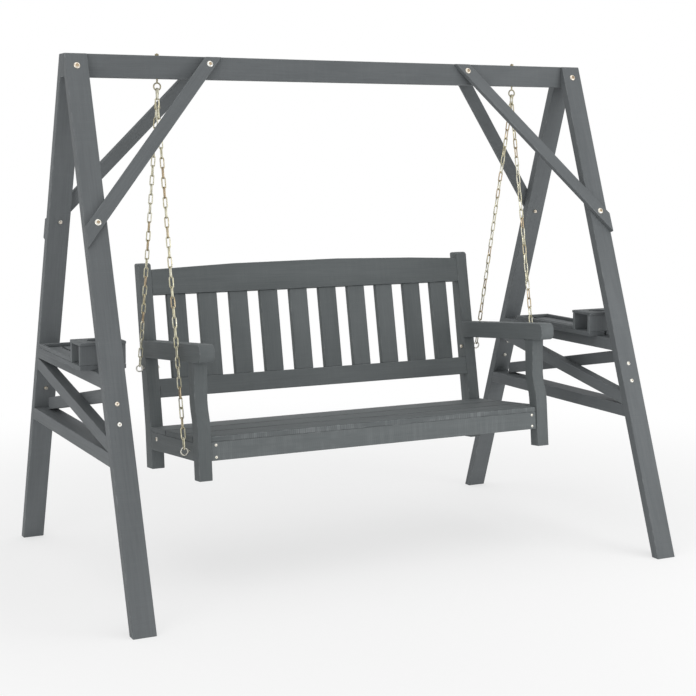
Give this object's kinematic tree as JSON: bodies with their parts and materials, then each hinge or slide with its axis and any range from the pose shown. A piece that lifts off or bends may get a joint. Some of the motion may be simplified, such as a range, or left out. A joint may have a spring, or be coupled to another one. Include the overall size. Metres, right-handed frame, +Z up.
{
  "type": "garden swing bench",
  "caption": "Timber garden bench with slatted seat and back, hung on long-link chains from the beam of an A-shaped stand with side trays and cup boxes.",
  "frame": {"origin": "on the ground, under the middle of the beam", "axes": "+X along the beam, towards the right of the picture, +Y to the back of the bench, +Z up"},
  "size_m": [2.075, 1.3182, 1.7563],
  "materials": {
    "stand_wood": "slate grey stain, open grain",
    "bench_wood": "slate grey stain, open grain",
    "fastener_steel": "pale yellow zinc plating",
    "chain_steel": "pale yellow zinc plating"
  },
  "bodies": {
    "stand": {"beam_bolts": "fastener_steel", "beam_eye_bolts": "fastener_steel", "beam_eye_nuts": "fastener_steel", "brace_foot_bolts": "fastener_steel", "brace_top_bolts": "fastener_steel", "front_left_brace": "stand_wood", "front_left_leg": "stand_wood", "front_right_brace": "stand_wood", "front_right_leg": "stand_wood", "left_cup_panels": "stand_wood", "left_cup_plate": "stand_wood", "left_falling_diagonal": "stand_wood", "left_lower_rail": "stand_wood", "left_rising_diagonal": "stand_wood", "left_tray_floor": "stand_wood", "left_tray_rim": "stand_wood", "left_upper_rail": "stand_wood", "leg_bolts": "fastener_steel", "rear_left_brace": "stand_wood", "rear_left_leg": "stand_wood", "rear_right_brace": "stand_wood", "rear_right_leg": "stand_wood", "right_cup_panels": "stand_wood", "right_cup_plate": "stand_wood", "right_falling_diagonal": "stand_wood", "right_lower_rail": "stand_wood", "right_rising_diagonal": "stand_wood", "right_tray_floor": "stand_wood", "right_tray_rim": "stand_wood", "right_upper_rail": "stand_wood", "stand_nuts": "fastener_steel", "top_beam": "stand_wood"},
    "swing": {"back_low_rail": "bench_wood", "back_slats": "bench_wood", "back_top_rail": "bench_wood", "bench_apron_screws": "fastener_steel", "bench_eye_bolts": "fastener_steel", "bench_eye_nuts": "fastener_steel", "bench_rail_bolts": "fastener_steel", "front_apron": "bench_wood", "left_arm": "bench_wood", "left_front_chain": "chain_steel", "left_front_post": "bench_wood", "left_rear_chain": "chain_steel", "left_rear_post": "bench_wood", "left_side_rail": "bench_wood", "rear_seat_rail": "bench_wood", "right_arm": "bench_wood", "right_front_chain": "chain_steel", "right_front_post": "bench_wood", "right_rear_chain": "chain_steel", "right_rear_post": "bench_wood", "right_side_rail": "bench_wood", "seat_bearers": "bench_wood", "seat_boards": "bench_wood"}
  },
  "joints": [
    {"name": "bench_swing", "type": "hinge", "parent": "stand", "child": "swing", "pos_m": [0.0215, 0, 1.6345], "axis": [1, 0, 0], "range_deg": [-21, 18]}
  ]
}
